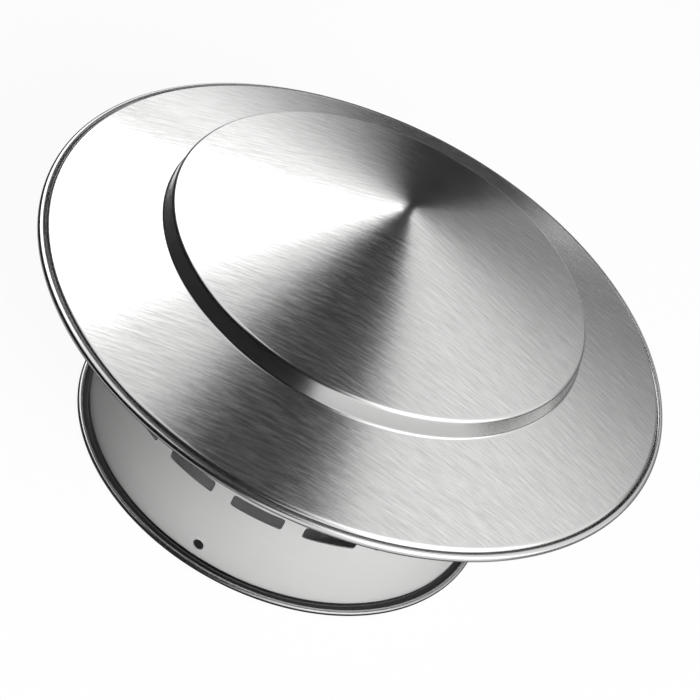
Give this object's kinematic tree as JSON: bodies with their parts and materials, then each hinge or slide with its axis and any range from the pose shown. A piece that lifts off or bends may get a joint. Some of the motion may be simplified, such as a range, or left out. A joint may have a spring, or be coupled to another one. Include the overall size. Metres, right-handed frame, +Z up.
{
  "type": "chimney cap",
  "caption": "Stainless steel rain cap for a round flue: a stepped conical hood with a rolled brim on a slotted drum that slips over the pipe and is held by screws.",
  "frame": {"origin": "on the drum's axis, at the level its foot stands on", "axes": "+Z up along the drum's axis towards the hood's tip; -Y towards the front, the side the picture looks at; +X to the right seen from the front"},
  "size_m": [0.2522, 0.2522, 0.1304],
  "materials": {
    "hood_sheet": "hairline brushed",
    "drum_sheet": "satin mill finish"
  },
  "bodies": {
    "root": {"hood": "hood_sheet", "drum": "drum_sheet"}
  },
  "joints": []
}
